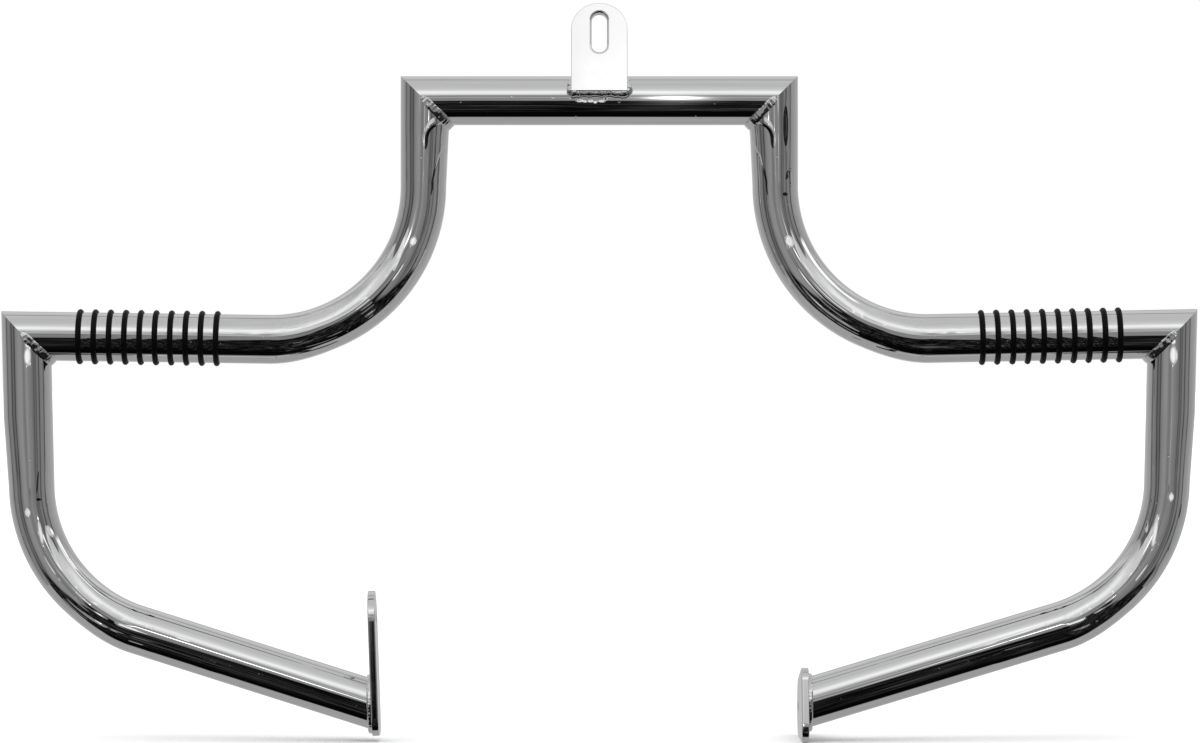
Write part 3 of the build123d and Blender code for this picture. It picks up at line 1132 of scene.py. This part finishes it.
def ringBead(name, centre, long, normal, longRadius, section):
    short = normal.cross(long)
    deselectAll()
    thick = tubeRadius / 4  # for now, each point is placed below
    bpy.ops.mesh.primitive_torus_add(major_radius=tubeRadius, minor_radius=thick,
                                     major_segments=bead["steps"], minor_segments=bead["sides"])
    piece = nameIt(name)

    def placed(co):
        angle = atan2(co.y, co.x)
        out = (hypot(co.x, co.y) - tubeRadius) / thick
        along = co.z / thick
        boxed = (abs(out) ** bead["square"] + abs(along) ** bead["square"]) ** (-1 / bead["square"])
        out, along = out * boxed, along * boxed
        width, height, sink, lump = section(abs(angle) * 180 / pi)
        path = long * (longRadius * cos(angle)) + short * (tubeRadius * sin(angle))
        outward = (long * (cos(angle) / longRadius) + short * (sin(angle) / tubeRadius)).normalized()
        place = centre + path
        spot = place + normal * along * width * bead["lumpAcross"]
        uneven = lump * lumpiness(spot, angle * tubeRadius)
        aside = along * (width + bead["lumpSideways"] * uneven)
        return place + outward * (out * (height + uneven) - sink) + normal * aside

    movePoints(piece, placed)
    editMode(True)
    closeMesh(bead["smoothAngle"])
    return piece


def mitreSection(angle):  # fills the corner where the tubes close up, gone round its outside
    inner = ease(1 - angle / mitreBead["innerTo"])
    fade = ease((mitreBead["fadeTo"] - angle) / (mitreBead["fadeTo"] - mitreBead["fadeFrom"]))
    front = ease((angle - mitreBead["frontFrom"]) / (mitreBead["frontTo"] - mitreBead["frontFrom"]))
    width = between(front, mitreBead["width"], mitreBead["frontWidth"])
    turn = max(0.0, cos(radians(angle)))
    slope = turn / sqrt(2 - turn * turn)  # of the tubes away from the joint
    height = mitreBead["proud"] + between(inner, mitreBead["fill"], mitreBead["innerFill"]) * width * slope
    rough = ease(angle / mitreBead["frontLumpTo"])
    lump = between(rough, mitreBead["lump"], mitreBead["frontLump"]) * fade
    faded = mitreBead["faded"]
    width = between(fade, faded["width"], width)
    height = between(fade, faded["height"], height)
    return width, height, between(fade, faded["sink"], 0.0), lump


def bracketSection(angle):
    return bracketBead["width"], bracketBead["height"], bracketBead["sink"], bracketBead["lump"]


def makeMitreWeld(name, node, before, corner, after):
    toward = (before - corner).normalized()
    away = (after - corner).normalized()
    inner = (toward + away).normalized()
    longRadius = tubeRadius / sin(inner.angle(toward))
    piece = ringBead(name, corner, inner, (toward - away).normalized(), longRadius, mitreSection)
    finishPiece(piece, weldChrome, node)


def makeBracketWeld(side):
    *_, lower, armEnd = cornersOf(side)
    normal = bracketNormal(side)
    long = normal.cross(sideways).normalized()
    longRadius = tubeRadius / cos(normal.angle(lower - armEnd))
    piece = ringBead(f"{side}BracketWeld", armEnd, long, normal, longRadius, bracketSection)
    finishPiece(piece, weldChrome, f"{side}_bracket_weld")


def tabPath(way):  # down one edge of the tab, along its foot and up the other, from -1 to 1
    half = tab["width"] / 2
    turn = tabBead["turn"]
    foot = half - turn
    arc = turn * pi / 2
    climb = tabBead["climb"] - turn
    along = abs(way) * (foot + arc + climb)
    if along < foot:
        place, out = (along, -tab["foot"]), (0, -1)
    elif along < foot + arc:
        angle = (along - foot) / turn
        out = (sin(angle), -cos(angle))
        place = (foot + turn * out[0], turn - tab["foot"] + turn * out[1])
    else:
        place, out = (half, turn - tab["foot"] + along - foot - arc), (1, 0)
    mirror = -1 if way < 0 else 1
    return Vector((mirror * place[0], place[1], 0)), Vector((mirror * out[0], out[1], 0)), along


def makeTabWeld():
    deselectAll()
    bpy.ops.mesh.primitive_uv_sphere_add(segments=bead["sides"], ring_count=bead["steps"], radius=1)
    piece = nameIt("tabWeld")
    half = tab["width"] / 2

    def placed(co):
        lat = atan2(co.z, hypot(co.x, co.y)) * 2 / pi
        place, out, along = tabPath(lat)
        spoke = Vector((co.x, co.y))
        if spoke.length > 0:
            spoke.normalize()
        blob = ease(1 - abs(along - half) / tabBead["cornerReach"])
        rising = ease((along - half) / tabBead["climb"])
        radius = between(blob, between(rising, tabBead["radius"], tabBead["tip"]), tabBead["corner"])
        radius *= sqrt(max(0.0, 1 - abs(lat) ** tabBead["tipBlunt"]))
        aside = out * spoke.x + Vector((0, 0, spoke.y))
        uneven = lumpiness(place + aside * tabBead["lumpAcross"], along)
        radius += tabBead["lump"] * uneven * min(1.0, radius / tabBead["radius"])
        return place + Vector((0, 0, tabBead["depth"])) + aside * radius

    movePoints(piece, placed)
    editMode(True)
    closeMesh(bead["smoothAngle"])
    moveInto(piece, tabFrame())
    finishPiece(piece, weldChrome, "tab_weld")


def makeWelds():
    for side in sides:
        upper, shoulder, outer, lower, _ = cornersOf(side)
        makeMitreWeld(f"{side}UpperWeld", f"{side}_upper_weld", crossCentre, upper, shoulder)
        makeMitreWeld(f"{side}CornerWeld", f"{side}_corner_weld", shoulder, outer, lower)
        makeBracketWeld(side)
    makeTabWeld()


makeWelds()
print("welds done")

# camera, straight on, and the pale floor
view = {
    "distance": 3.4,
    "widthSeen": 0.78,  # at the tubes
    "aside": 0.00045,
    "drop": 0.176,  # below the crossbar's axis
    "sensor": 36.0,
    "clip": 200.0,
}
ground = {
    "size": 120.0,
    "gap": 0.0005,
    "mottle": 3.0,
    "dull": (0.93, 0.93, 0.93, 1),
    "pale": (0.95, 0.95, 0.95, 1),
    "roughness": 0.9,
    "specular": 0.0,
}
topLight = {"energy": 1.2, "spread": 60, "turn": (20, -10, 0)}


def setCamera():
    camera = bpy.data.cameras.new("camera")
    camera.sensor_width = view["sensor"]
    camera.lens = view["sensor"] * view["distance"] / view["widthSeen"]
    camera.clip_end = view["clip"]
    stand = bpy.data.objects.new("camera", camera)
    bpy.context.scene.collection.objects.link(stand)
    stand.location = (view["aside"], crossCentre.y - view["distance"], crossCentre.z - view["drop"])
    stand.rotation_euler = (radians(90), 0, 0)
    bpy.context.scene.camera = stand


def layFloor():
    deselectAll()
    bpy.ops.mesh.primitive_plane_add(size=ground["size"], location=(0, 0, cadBox[0][2] - ground["gap"]))
    floor = nameIt("floor")
    material, tree, shader = newMaterial("paleFloor")
    mottle = noiseNode(tree, objectPlace(tree), ground["mottle"])
    colour = mixNode(tree, mottle, ground["dull"], ground["pale"], "RGBA")
    tree.links.new(colour, shader.inputs["Base Color"])
    shader.inputs["Roughness"].default_value = ground["roughness"]
    shader.inputs["Specular IOR Level"].default_value = ground["specular"]
    floor.data.materials.append(material)
    floor.visible_glossy = False  # the tubes mirror the studio instead


def hangLamp():  # soft light from above that the chrome doesn't mirror
    lamp = bpy.data.lights.new("topLight", "SUN")
    lamp.energy = topLight["energy"]
    lamp.angle = radians(topLight["spread"])
    hung = bpy.data.objects.new("topLight", lamp)
    bpy.context.scene.collection.objects.link(hung)
    hung.rotation_euler = [radians(turn) for turn in topLight["turn"]]
    hung.visible_glossy = False


setCamera()
layFloor()
hangLamp()
buildStudio()
bpy.context.scene.view_settings.view_transform = "Standard"
bpy.context.scene.view_settings.look = "None"
print("studio done")
